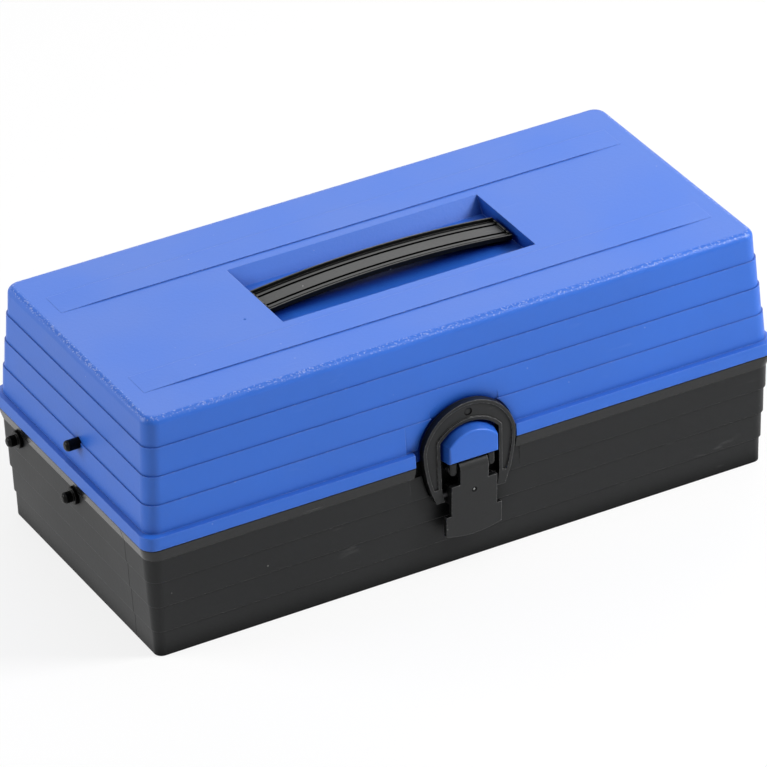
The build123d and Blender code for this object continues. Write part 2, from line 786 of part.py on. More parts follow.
def bar(inner_x, thickness, ends, width, eye, eyes, holes):
    """Flat bar with round eyes between two pivots, growing away from the middle of the box."""
    (y_from, z_from), (y_to, z_to) = ends
    with BuildSketch(Plane.YZ.offset(inner_x)) as shape:
        with Locations(((y_from + y_to) / 2, (z_from + z_to) / 2)):
            tilt = math.degrees(math.atan2(z_to - z_from, y_to - y_from))
            SlotCenterToCenter(math.dist(*ends), width, rotation=tilt)
        with Locations(*eyes):
            Circle(eye)
        for point, radius in holes:
            with Locations(point):
                Circle(radius, mode=Mode.SUBTRACT)
    extrude(shape.sketch, amount=math.copysign(thickness, inner_x))


running_hole = neck_radius + running_play
fixed_hole = neck_radius + fixed_play

# Arms and links on both ends
for side_name, side in (("left", -1), ("right", 1)):
    inner = side * (arm_outer_x - arm_thickness)
    with BuildPart() as rear_arm:
        bar(
            inner,
            arm_thickness,
            (rear_pivot, link_joint),
            arm_width,
            eye_radius,
            [rear_pivot, rear_tray_pivot, link_joint],
            [(rear_pivot, running_hole), (rear_tray_pivot, running_hole), (link_joint, fixed_hole)],
        )
    save(rear_arm, f"rear_arm_{side_name}")
    with BuildPart() as front_arm:
        bar(
            inner,
            arm_thickness,
            (front_pivot, front_tray_pivot),
            arm_width,
            eye_radius,
            [front_pivot, front_tray_pivot],
            [(front_pivot, running_hole), (front_tray_pivot, running_hole)],
        )
    save(front_arm, f"front_arm_{side_name}")
    with BuildPart() as lid_link:
        bar(
            side * (link_outer_x - link_thickness),
            link_thickness,
            (link_joint, lid_pivot),
            link_width,
            link_eye_radius,
            [link_joint, lid_pivot],
            [(link_joint, running_hole), (lid_pivot, running_hole)],
        )
    save(lid_link, f"lid_link_{side_name}")

# Rivets that join each link to its rear arm
with BuildPart() as link_rivets:
    for side in (-1, 1):
        inner_head_x = link_outer_x - link_thickness - head_gap
        outer_head_x = arm_outer_x + fixed_play
        rod(neck_radius, side * inner_head_x, side * outer_head_x, link_joint)
        rod(head_radius, side * inner_head_x, side * (inner_head_x - head_thickness), link_joint)
        rod(head_radius, side * outer_head_x, side * (outer_head_x + rivet_head_thickness), link_joint)
save(link_rivets, "link_rivets")

# Tray: an open box with a middle wall, fixed cells at the back and slots for dividers in front
with BuildPart() as tray:
    with BuildSketch(Plane.XY.offset(tray_bottom_z)):
        RectangleRounded(2 * tray_half_length, 2 * tray_half_depth, tray_corner)
    extrude(amount=tray_top_z - tray_bottom_z)
    with BuildSketch(Plane.XY.offset(tray_bottom_z + tray_wall)):
        RectangleRounded(
            2 * (tray_half_length - tray_wall), 2 * (tray_half_depth - tray_wall), tray_corner - tray_wall
        )
    extrude(amount=tray_top_z - tray_bottom_z, mode=Mode.SUBTRACT)
    floor_z = tray_bottom_z + tray_wall
    partition_top_z = floor_z + partition_height
    slab(
        (-tray_half_length + partition_root, -partition / 2, floor_z),
        (tray_half_length - partition_root, partition / 2, partition_top_z),
    )
    for x in rear_partitions:
        slab(
            (x - partition / 2, 0, floor_z),
            (x + partition / 2, tray_half_depth - partition_root, partition_top_z),
        )
    for x in divider_places:
        for wall_y, inward in ((-tray_half_depth + tray_wall, 1), (-partition / 2, -1)):
            for edge in (-1, 1):
                near = x + edge * guide_gap / 2
                far = near + edge * guide_width
                root = wall_y - inward * guide_root
                deep = wall_y + inward * guide_depth
                slab(
                    (min(near, far), min(root, deep), floor_z),
                    (max(near, far), max(root, deep), floor_z + divider_height),
                )
    for side in (-1, 1):
        for pivot in (rear_tray_pivot, front_tray_pivot):
            inside = side * (tray_half_length - tray_corner)
            rod(fixed_hole, inside, side * (tray_half_length + past), pivot, mode=Mode.SUBTRACT)
save(tray, "tray")

# Loose dividers that drop into the tray's slots
for name, x in dividers.items():
    with BuildPart() as divider:
        slab(
            (
                x - divider_thickness / 2,
                -tray_half_depth + tray_wall + divider_side_gap,
                floor_z + divider_floor_gap,
            ),
            (x + divider_thickness / 2, -partition / 2 - divider_side_gap, floor_z + divider_height),
        )
    save(divider, f"tray_divider_{name}")

# Studs that fix the tray's ends to the arms
with BuildPart() as tray_pivot_studs:
    inner_end = tray_half_length - tray_wall - fixed_play
    outer_end = arm_outer_x + head_gap
    washer_end = arm_outer_x - arm_thickness - spot_face_play
    for side in (-1, 1):
        for pivot in (rear_tray_pivot, front_tray_pivot):
            rod(neck_radius, side * inner_end, side * outer_end, pivot)
            rod(tray_head_radius, side * inner_end, side * (inner_end - head_thickness), pivot)
            rod(tray_washer_radius, side * (tray_half_length + fixed_play), side * washer_end, pivot)
            rod(tray_washer_radius, side * outer_end, side * (outer_end + rivet_head_thickness), pivot)
save(tray_pivot_studs, "tray_pivot_studs")

print("arm reach", round(arm_reach, 2))
print("link joint", [round(v, 2) for v in link_joint])
print("tray pivots", [round(v, 2) for v in (*rear_tray_pivot, *front_tray_pivot)])
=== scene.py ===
"""Looks of a small tackle box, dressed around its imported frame.

Metres. +X runs along the box, -Y is the latch side and +Z is up.
"""

import logging
import math
from dataclasses import dataclass, field
from enum import Enum
from typing import Any, Union

import bpy
from mathutils import Matrix, Vector


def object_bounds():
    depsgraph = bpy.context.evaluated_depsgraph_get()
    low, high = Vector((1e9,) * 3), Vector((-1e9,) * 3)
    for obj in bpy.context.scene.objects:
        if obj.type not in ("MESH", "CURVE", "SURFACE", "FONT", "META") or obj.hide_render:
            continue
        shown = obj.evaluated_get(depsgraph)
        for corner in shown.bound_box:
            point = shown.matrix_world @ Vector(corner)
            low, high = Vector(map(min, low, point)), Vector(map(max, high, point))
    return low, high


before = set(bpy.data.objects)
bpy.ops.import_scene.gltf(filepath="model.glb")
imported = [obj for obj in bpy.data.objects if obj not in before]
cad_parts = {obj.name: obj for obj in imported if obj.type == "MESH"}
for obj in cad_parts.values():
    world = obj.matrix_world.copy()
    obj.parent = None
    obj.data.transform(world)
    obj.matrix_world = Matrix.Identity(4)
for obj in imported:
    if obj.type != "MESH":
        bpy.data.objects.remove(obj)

CAD_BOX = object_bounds()

Color = tuple[float, float, float]
Place = tuple[float, float, float]
Pair = tuple[float, float]
Socket = bpy.types.NodeSocket
Outputs = bpy.types.bpy_prop_collection
Level = Union[Socket, float]

NUMBER = "NodeSocketFloat"
VECTOR = "NodeSocketVector"

# Sockets of a Mix node that takes colours.
MIX_SHARE, MIX_FIRST, MIX_SECOND, MIX_RESULT = 0, 6, 7, 2

# Rays that one sample sends to find soft edges and closed-in places.
EFFECT_RAYS = 6

log = logging.getLogger("tackle_box")


class Slot(Enum):
    """Material slots of the record."""

    BASE = "base_plastic"
    LID = "lid_plastic"
    HANDLE = "handle_plastic"
    LATCH = "latch_plastic"
    STUD = "stud_plastic"
    ARM = "arm_plastic"
    TRAY = "tray_plastic"
    PIN = "pin_steel"


class Wear(Enum):
    """How much a surface shows of handling: scratch share and dust share."""

    FRESH = (0.1, 0.25)
    HANDLED = (0.2, 0.6)
    SHELTERED = (0.05, 0.1)


class Graph:
    """Short way to place and join shader nodes in one tree."""

    def __init__(self, tree: bpy.types.NodeTree) -> None:
        """Keeps the node tree of a material, a world or a group."""
        self.tree = tree

    def add(self, kind: str, inputs: dict[Any, Any] | None = None, **options: Any) -> bpy.types.Node:
        """Adds a node, sets its options, and fills or joins its inputs.

        Args:
            kind: Blender's name of the node type.
            inputs: socket name or number, with a value or a socket to join to it.
            options: properties of the node.

        Returns:
            The new node.
        """
        node = self.tree.nodes.new(kind)
        for option, value in options.items():
            setattr(node, option, value)
        for name, value in (inputs or {}).items():
            self.feed(value, node.inputs[name])
        return node

    def feed(self, value: Any, socket: Socket) -> None:
        """Joins a socket to an input, or writes a value on it.

        Args:
            value: an output socket or a plain value.
            socket: the input.
        """
        if isinstance(value, bpy.types.NodeSocket):
            self.tree.links.new(value, socket)
        else:
            socket.default_value = value

    def math(self, operation: str, first: Level, second: Level = 0.0, third: Level = 0.0) -> Socket:
        """Result of a Math node."""
        return self.add("ShaderNodeMath", {0: first, 1: second, 2: third}, operation=operation).outputs[0]

    def mix(self, share: Level, first: Any, second: Any) -> Socket:
        """Mix of two colours, which is the first at a share of 0 and the second at 1."""
        inputs = {MIX_SHARE: share, MIX_FIRST: as_rgba(first), MIX_SECOND: as_rgba(second)}
        return self.add("ShaderNodeMix", inputs, data_type="RGBA").outputs[MIX_RESULT]

    def ramp(
        self, value: Level, low: Level, high: Level, to_low: float = 0.0, to_high: float = 1.0
    ) -> Socket:
        """Smooth step from to_low, where the value is low, to to_high, where it is high."""
        inputs = {"Value": value, "From Min": low, "From Max": high, "To Min": to_low, "To Max": to_high}
        return self.add("ShaderNodeMapRange", inputs, interpolation_type="SMOOTHSTEP").outputs[0]

    def noise(self, place: Socket, scale: Level, detail: float = 2.0) -> Socket:
        """Grey noise over the given coordinates."""
        return self.add("ShaderNodeTexNoise", {"Vector": place, "Scale": scale, "Detail": detail}).outputs[0]

    def place(self) -> Socket:
        """Coordinates that stay with the object."""
        return self.add("ShaderNodeTexCoord").outputs["Object"]

    def turned_place(self, stretch: Place, turn: float = 0.0) -> Socket:
        """Coordinates that stay with the object, turned by degrees about Z and scaled along each axis."""
        inputs = {"Vector": self.place(), "Scale": stretch, "Rotation": (0.0, 0.0, math.radians(turn))}
        return self.add("ShaderNodeMapping", inputs).outputs[0]

    def axes(self, vector: Socket) -> tuple[Socket, Socket, Socket]:
        """The three numbers of a vector."""
        return tuple(self.add("ShaderNodeSeparateXYZ", {0: vector}).outputs)

    def measure(self, operation: str, first: Any, second: Any) -> Socket:
        """Number that a Vector Math node makes of two vectors."""
        return self.add("ShaderNodeVectorMath", {0: first, 1: second}, operation=operation).outputs["Value"]


def as_rgba(value: Any) -> Any:
    """Adds an alpha of 1 to a plain colour, and leaves a socket alone."""
    return (*value, 1.0) if isinstance(value, tuple) and len(value) == 3 else value


class EffectGroup:
    """A shader node group that several finishes place with their own values."""

    def __init__(self, name: str, inputs: dict[str, float], outputs: dict[str, str]) -> None:
        """Makes the empty group.

        Args:
            name: name of the group.
            inputs: name and default of each number that goes in.
            outputs: name and socket type of each result.
        """
        tree = bpy.data.node_groups.new(name, "ShaderNodeTree")
        for label, default in inputs.items():
            socket = tree.interface.new_socket(label, in_out="INPUT", socket_type=NUMBER)
            socket.default_value = default
        for label, kind in outputs.items():
            tree.interface.new_socket(label, in_out="OUTPUT", socket_type=kind)
        self.tree = tree
        self.graph = Graph(tree)
        self.entry = tree.nodes.new("NodeGroupInput").outputs
        self.exit = tree.nodes.new("NodeGroupOutput").inputs

    def place(self, graph: Graph, **values: Any) -> Outputs:
        """Places the group in a material.

        Args:
            graph: the material's graph.
            values: inputs by name, with underscores for spaces.

        Returns:
            The outputs of the placed group.
        """
        node = graph.add("ShaderNodeGroup", node_tree=self.tree)
        for label, value in values.items():
            graph.feed(value, node.inputs[label.replace("_", " ")])
        return node.outputs


def make_grain() -> EffectGroup:
    """Makes the fine pebble of a textured mould, with a slow change of tone over the surface.

    Returns:
        The group, which gives the height of the pebble, and the tone from 0 to 1.
    """
    pebble_scale, pebble_height = 0.55, 0.7
    tone_detail, tone_range = 3.0, (0.3, 0.7)
    group = EffectGroup(
        "mould_grain",
        {"Grain Scale": 1100.0, "Tone Scale": 16.0},
        {"Height": NUMBER, "Tone": NUMBER},
    )
    graph, entry = group.graph, group.entry
    place = graph.place()
    fine = graph.noise(place, entry["Grain Scale"])
    wide = graph.math("MULTIPLY", entry["Grain Scale"], pebble_scale)
    pebble = graph.add("ShaderNodeTexVoronoi", {"Vector": place, "Scale": wide}, feature="SMOOTH_F1")
    height = graph.math("MULTIPLY_ADD", pebble.outputs["Distance"], pebble_height, fine)
    tone = graph.noise(place, entry["Tone Scale"], tone_detail)
    graph.feed(height, group.exit["Height"])
    graph.feed(graph.ramp(tone, *tone_range), group.exit["Tone"])
    return group


def make_soft_edge() -> EffectGroup:
    """Makes the rounded shading of sharp edges, and finds where they are.

    Returns:
        The group, which gives the rounded normal and a mask of the edges.
    """
    match_range = (0.995, 0.86)
    group = EffectGroup("soft_edge", {"Radius": 0.0004}, {"Normal": VECTOR, "Edge": NUMBER})
    graph = group.graph
    rounded = graph.add("ShaderNodeBevel", {"Radius": group.entry["Radius"]}, samples=EFFECT_RAYS).outputs[0]
    flat = graph.add("ShaderNodeNewGeometry").outputs["Normal"]
    match = graph.measure("DOT_PRODUCT", rounded, flat)
    graph.feed(rounded, group.exit["Normal"])
    graph.feed(graph.ramp(match, *match_range), group.exit["Edge"])
    return group


def make_handling() -> EffectGroup:
    """Makes hairline scratches, specks of dust, and flecks that break up a painted edge highlight.

    Returns:
        The group, which gives a mask of each.
    """
    scratch_stretch, scratch_turns, scratch_range = (1.0, 22.0, 4.0), (8.0, 67.0), (0.68, 0.74)
    patch_scale, patch_detail, patch_range = 22.0, 1.0, (0.5, 0.68)
    speck_range, chosen_range = (0.055, 0.03), (0.86, 0.88)
    fleck_detail, fleck_range = 1.0, (0.55, 0.66)
    group = EffectGroup(
        "handling",
        {"Scratch Scale": 40.0, "Dust Scale": 150.0, "Fleck Scale": 1100.0},
        {"Scratches": NUMBER, "Dust": NUMBER, "Flecks": NUMBER},
    )
    graph, entry = group.graph, group.entry
    layers = []
    for turn in scratch_turns:
        lines = graph.noise(graph.turned_place(scratch_stretch, turn), entry["Scratch Scale"])
        layers.append(graph.ramp(lines, *scratch_range))
    place = graph.place()
    patches = graph.ramp(graph.noise(place, patch_scale, patch_detail), *patch_range)
    scratches = graph.math("MULTIPLY", graph.math("MAXIMUM", *layers), patches)
    cells = graph.add("ShaderNodeTexVoronoi", {"Vector": place, "Scale": entry["Dust Scale"]}).outputs
    speck = graph.ramp(cells["Distance"], *speck_range)
    draw = graph.add("ShaderNodeSeparateColor", {0: cells["Color"]}).outputs[0]
    flecks = graph.noise(place, entry["Fleck Scale"], fleck_detail)
    graph.feed(scratches, group.exit["Scratches"])
    graph.feed(graph.math("MULTIPLY", speck, graph.ramp(draw, *chosen_range)), group.exit["Dust"])
    graph.feed(graph.ramp(flecks, *fleck_range), group.exit["Flecks"])
    return group


def make_step_corner_shade() -> EffectGroup:
    """Makes the painted shade in the corner of each step in a moulded wall.

    Returns:
        The group, which gives a mask of the corners.
    """
    group = EffectGroup(
        "step_lines",
        {"Edge": 0.0, "Low": 0.0, "Middle": 0.0, "High": 0.0, "Upward": 1.0, "Reach": 0.0004},
        {"Corner": NUMBER},
    )
    graph, entry = group.graph, group.entry
    _, _, height = graph.axes(graph.place())
    corner: Level = 0.0
    for level in ("Low", "Middle", "High"):
        offset = graph.math("MULTIPLY", graph.math("SUBTRACT", height, entry[level]), entry["Upward"])
        near = graph.ramp(graph.math("ABSOLUTE", offset), entry["Reach"], 0.0)
        inside = graph.math("MULTIPLY", near, graph.math("GREATER_THAN", offset, 0.0))
        corner = graph.math("MAXIMUM", corner, inside)
    graph.feed(graph.math("MULTIPLY", corner, entry["Edge"]), group.exit["Corner"])
    return group


def make_painted_shade() -> EffectGroup:
    """Makes the mask of painted shade: the corners and gaps that other surfaces close in.

    Returns:
        The group, which gives the mask.
    """
    open_range = (0.93, 0.35)
    group = EffectGroup("painted_shade_closed_in", {"Reach": 0.014}, {"Shade": NUMBER})
    inputs = {"Distance": group.entry["Reach"]}
    openness = group.graph.add("ShaderNodeAmbientOcclusion", inputs, samples=EFFECT_RAYS).outputs["AO"]
    group.graph.feed(group.graph.ramp(openness, *open_range), group.exit["Shade"])
    return group


GRAIN = make_grain()
SOFT_EDGE = make_soft_edge()
HANDLING = make_handling()
STEP_CORNER_SHADE = make_step_corner_shade()
PAINTED_SHADE = make_painted_shade()

DUST_COLOR: Color = (0.62, 0.62, 0.6)

# White in the colour of a painted edge highlight and of a scratch.
HIGHLIGHT_AND_WEAR_WHITE = 0.4
# How far a mere edge is taken out of the shade.
EDGE_OPENING = 0.9
# Painted shade at which no highlight is painted any more.
HIGHLIGHT_END = 0.35
# Part of a painted edge highlight that its flecks break up.
FLECK_SHARE = 0.7
# Brightness of the painted highlight on the tops of the coarse pebble, and of a scratch.
PEBBLE_HIGHLIGHT = 0.45
SCRATCH_LIFT = 0.3
# Roughness that the tone adds at most, and that a scratch adds.
TONE_ROUGHNESS = 0.06
SCRATCH_ROUGHNESS = 0.2
# Gloss that dark lines and the painted shade take away.
GLOSS_LOSS = 0.95
# Heights in depths of the grain: coarse pebble, dark line and scratch.
PEBBLE_HEIGHT = 3.0
LINE_DEPTH = 2.0
SCRATCH_DEPTH = 0.5


@dataclass(frozen=True)
class Masks:
    """Where the effects and a finish's own marks are on a surface.

    Attributes:
        grain: outputs of the grain.
        edge: outputs of the soft edge.
        handling: outputs of the handling.
        shade: 1 where other surfaces close the place in.
        closed: how far the place takes the colour of the shade.
        dark: 1 in a dark line or mark; these are mould marks, a fleck and painted shade lines.
        pebbled: 1 where the mould's pebble is coarse.
        edge_highlight: 1 on an edge that gets a painted highlight.
    """

    grain: Outputs
    edge: Outputs
    handling: Outputs
    shade: Socket
    closed: Socket
    dark: Level
    pebbled: Level
    edge_highlight: Socket


@dataclass(frozen=True)
class MouldedPlastic:
    """Finish of a moulded plastic piece.

    Attributes:
        name: name of the material.
        color: colour of the plastic.
        roughness: roughness of a clean face.
        specular: strength of the reflection at the surface.
        grain: depth of the mould's grain in metres.
        grain_scale: grains per metre.
        edge: radius of the shading's soft edges in metres.
        edge_highlight_strength: how much lighter the painted highlight makes an edge, from 0 to 1.
        line_shade: how much of the colour is left in a dark line; dark lines are mould marks, a fleck and
            painted shade lines.
        tone: how far the colour drifts over the surface.
        wear: how much the surface was handled.
        steps: heights of the steps in the wall in metres, if it has them.
        upward: 1 where a step's corner lies above its height, and -1 where it lies below.
        painted_shade_color: colour of the painted shade in corners and gaps that other surfaces close in.
        painted_shade_depth: how far those corners take the painted shade, from 0 to 1.
    """

    name: str
    color: Color
    roughness: float = 0.42
    specular: float = 0.32
    grain: float = 0.00003
    grain_scale: float = 1100.0
    edge: float = 0.0004
    edge_highlight_strength: float = 0.3
    line_shade: float = 0.35
    tone: float = 0.12
    wear: Wear = Wear.FRESH
    steps: tuple[float, ...] = ()
    upward: float = 1.0
    painted_shade_color: Color = (0.002, 0.002, 0.002)
    painted_shade_depth: float = 0.85

    def own_marks(self, graph: Graph) -> tuple[Level, Level]:
        """Dark mark and pebbled area that only this finish has."""
        return 0.0, 0.0

    def polish(self, graph: Graph, rough: Socket) -> Socket:
        """Roughness with the area that was polished in the mould."""
        return rough

    def add_marks(self, graph: Graph, color: Socket) -> Socket:
        """Colour with the bright marks that only this finish has."""
        return color

    def find_masks(self, graph: Graph) -> Masks:
        """Places the effects and finds where each one shows.

        Args:
            graph: the material's graph.

        Returns:
            The masks.
        """
        grain = GRAIN.place(graph, Grain_Scale=self.grain_scale)
        edge = SOFT_EDGE.place(graph, Radius=self.edge)
        handling = HANDLING.place(graph)
        # Painted shade: the colour darkens where other surfaces close the place in, and less on edges.
        off_edge = graph.math("MULTIPLY_ADD", edge["Edge"], -EDGE_OPENING, 1.0)
        shade = graph.math("MULTIPLY", PAINTED_SHADE.place(graph)["Shade"], off_edge)
        closed = graph.math("MULTIPLY", shade, self.painted_shade_depth)
        dark, pebbled = self.own_marks(graph)
        edge_highlight = edge["Edge"]
        if self.steps:
            low, middle, high = self.steps
            lines = STEP_CORNER_SHADE.place(graph, Edge=edge_highlight, Low=low, Middle=middle, High=high, Upward=self.upward)
            # Painted shade lines in the step corners join the dark lines, and get no edge highlight.
            dark = graph.math("MAXIMUM", dark, lines["Corner"])
            edge_highlight = graph.math("MULTIPLY", edge_highlight, graph.math("SUBTRACT", 1.0, lines["Corner"]))
        return Masks(grain, edge, handling, shade, closed, dark, pebbled, edge_highlight)

    def paint(self, graph: Graph, masks: Masks) -> Socket:
        """Lays painted edge highlights, dark lines, painted shade, scratches and dust over the plastic's own
        colour.

        Args:
            graph: the material's graph.
            masks: where each of them shows.

        Returns:
            The colour.
        """
        scratch_share, dust_share = self.wear.value
        low_tone = tuple(c * (1.0 - self.tone) for c in self.color)
        highlight_and_wear_color = tuple(c + (1.0 - c) * HIGHLIGHT_AND_WEAR_WHITE for c in self.color)
        line_color = tuple(c * self.line_shade for c in self.color)
        flecks = masks.handling["Flecks"]
        broken = graph.math("MULTIPLY_ADD", flecks, FLECK_SHARE, 1.0 - FLECK_SHARE)
        # Painted highlights on edges, broken up by flecks, and on the tops of the coarse pebble, with none
        # in closed-in places.
        edge_highlight = graph.math("MULTIPLY", graph.math("MULTIPLY", masks.edge_highlight, broken), self.edge_highlight_strength)
        pebble = graph.math("MULTIPLY", graph.math("MULTIPLY", masks.pebbled, flecks), PEBBLE_HIGHLIGHT)
        highlight_reach = graph.ramp(masks.shade, HIGHLIGHT_END, 0.0)
        painted_highlight = graph.math("MULTIPLY", graph.math("MAXIMUM", edge_highlight, pebble), highlight_reach)
        scratches = graph.math("MULTIPLY", masks.handling["Scratches"], scratch_share * SCRATCH_LIFT)
        dust = graph.math("MULTIPLY", masks.handling["Dust"], dust_share)
        color = graph.mix(masks.grain["Tone"], low_tone, self.color)
        # Painted highlight on edges and pebble tops.
        color = graph.mix(painted_highlight, color, highlight_and_wear_color)
        # Dark lines: mould marks and a fleck, and painted shade in grooves, gaps, step corners and round the
        # gate stub.
        color = graph.mix(masks.dark, color, line_color)
        # Painted shade in the corners and gaps that other surfaces close in.
        color = graph.mix(masks.closed, color, self.painted_shade_color)
        color = graph.mix(scratches, color, highlight_and_wear_color)
        color = graph.mix(dust, color, DUST_COLOR)
        return self.add_marks(graph, color)

    def roughen(self, graph: Graph, masks: Masks) -> Socket:
        """Changes the roughness with the tone, the polished area and the scratches.

        Args:
            graph: the material's graph.
            masks: where each of them shows.

        Returns:
            The roughness.
        """
        scratch_share, _ = self.wear.value
        smoothest = self.roughness - TONE_ROUGHNESS / 2
        rough = graph.math("MULTIPLY_ADD", masks.grain["Tone"], TONE_ROUGHNESS, smoothest)
        rough = self.polish(graph, rough)
        added = scratch_share * SCRATCH_ROUGHNESS
        return graph.math("MULTIPLY_ADD", masks.handling["Scratches"], added, rough)

    def shine(self, graph: Graph, masks: Masks) -> Socket:
        """Strength of the reflection, which dark lines and the painted shade take away."""
        dull = graph.math("MAXIMUM", masks.closed, masks.dark)
        return graph.math("MULTIPLY_ADD", dull, -GLOSS_LOSS * self.specular, self.specular)

    def emboss(self, graph: Graph, masks: Masks) -> Socket:
        """Raises the grain and cuts the dark lines and scratches into it.

        Args:
            graph: the material's graph.
            masks: where each of them shows.

        Returns:
            The normal.
        """
        scratch_share, _ = self.wear.value
        coarse = graph.math("MULTIPLY_ADD", masks.pebbled, PEBBLE_HEIGHT, 1.0)
        height = graph.math("MULTIPLY", masks.grain["Height"], coarse)
        height = graph.math("MULTIPLY_ADD", masks.dark, -LINE_DEPTH, height)
        cut = -SCRATCH_DEPTH * scratch_share
        height = graph.math("MULTIPLY_ADD", masks.handling["Scratches"], cut, height)
        inputs = {"Height": height, "Distance": self.grain, "Normal": masks.edge["Normal"]}
        return graph.add("ShaderNodeBump", inputs).outputs[0]

    def build(self) -> bpy.types.Material:
        """Makes the material.

        Returns:
            The new material.
        """
        material = bpy.data.materials.new(self.name)
        material.use_nodes = True
        graph = Graph(material.node_tree)
        shader = material.node_tree.nodes["Principled BSDF"]
        masks = self.find_masks(graph)
        graph.feed(self.paint(graph, masks), shader.inputs["Base Color"])
        graph.feed(self.roughen(graph, masks), shader.inputs["Roughness"])
        graph.feed(self.shine(graph, masks), shader.inputs["Specular IOR Level"])
        graph.feed(self.emboss(graph, masks), shader.inputs["Normal"])
        return material


@dataclass(frozen=True)
class BasePlastic(MouldedPlastic):
    """Black plastic of the base, with the mould's parting line down the left end and painted shade in the
    gap under the lid.

    Attributes:
        line_y: place of the parting line.
        line_half_width: half its width.
        line_wander: how far it strays from straight.
        wander_scale: bends in it per metre.
        end_x: the left end lies beyond this.
        gap_shade_z: the painted shade of the gap under the lid lies above this.
        flange: lowest and highest place of the flange below the rim.
        flange_roughness: roughness of the flange.
    """

    line_y: float = -0.0499
    line_half_width: float = 0.00042
    line_wander: float = 0.0009
    wander_scale: float = 70.0
    end_x: float = -0.15
    gap_shade_z: float = 0.0579
    flange: Pair = (0.0519, 0.0586)
    flange_roughness: float = 0.2

    def own_marks(self, graph: Graph) -> tuple[Level, Level]:
        """Finds the parting line on the left end and the painted shade in the gap under the lid.

        Args:
            graph: the material's graph.

        Returns:
            A mask of both, and no pebbled area.
        """
        place = graph.place()
        along, across, height = graph.axes(place)
        strayed = graph.math("MULTIPLY_ADD", graph.noise(place, self.wander_scale), self.line_wander, across)
        off_line = graph.math("ABSOLUTE", graph.math("SUBTRACT", strayed, self.line_y))
        on_line = graph.ramp(off_line, self.line_half_width, 0.0)
        on_end = graph.math("LESS_THAN", along, self.end_x)
        # Painted shade in the gap under the lid, above this height.
        gap_shade = graph.math("GREATER_THAN", height, self.gap_shade_z)
        return graph.math("MAXIMUM", graph.math("MULTIPLY", on_line, on_end), gap_shade), 0.0

    def polish(self, graph: Graph, rough: Socket) -> Socket:
        """Makes the flange below the rim smooth.

        Args:
            graph: the material's graph.
            rough: roughness so far.

        Returns:
            The roughness with the flange.
        """
        low, high = self.flange
        _, _, height = graph.axes(graph.place())
        above, below = graph.math("GREATER_THAN", height, low), graph.math("LESS_THAN", height, high)
        on_flange = graph.math("MULTIPLY", above, below)
        return graph.math("MULTIPLY_ADD", on_flange, self.flange_roughness - self.roughness, rough)


@dataclass(frozen=True)
class LidPlastic(MouldedPlastic):
    """Blue plastic of the lid, pebbled along its top edges, with one dark fleck on top.

    Attributes:
        fleck: middle of the fleck.
        fleck_radius: its radius.
        rim: distance from the middle, along and across, beyond which the top edges lie.
        rim_z: they lie above this.
        steep: upward part of the normal where the pebble starts and is full, from the side.
        level: the same from the flat top.
    """

    fleck: Place = (-0.077, -0.0155, 0.11995)
    fleck_radius: float = 0.0006
    rim: Pair = (0.145, 0.06)
    rim_z: float = 0.1155
    steep: Pair = (0.45, 0.8)
    level: Pair = (0.9995, 0.97)

    def own_marks(self, graph: Graph) -> tuple[Level, Level]:
        """Finds the fleck and the rounded top edges.

        Args:
            graph: the material's graph.

        Returns:
            A mask of the fleck, and a mask of the pebbled edges.
        """
        coordinates = graph.add("ShaderNodeTexCoord").outputs
        away = graph.measure("DISTANCE", coordinates["Object"], self.fleck)
        fleck = graph.math("LESS_THAN", away, self.fleck_radius)
        along, across, height = graph.axes(coordinates["Object"])
        _, _, tilt = graph.axes(coordinates["Normal"])
        far_along = graph.math("GREATER_THAN", graph.math("ABSOLUTE", along), self.rim[0])
        far_across = graph.math("GREATER_THAN", graph.math("ABSOLUTE", across), self.rim[1])
        on_rim = graph.math("MAXIMUM", far_along, far_across)
        turned = graph.math("MULTIPLY", graph.ramp(tilt, *self.steep), graph.ramp(tilt, *self.level))
        on_top = graph.math("GREATER_THAN", height, self.rim_z)
        return fleck, graph.math("MULTIPLY", graph.math("MULTIPLY", turned, on_top), on_rim)


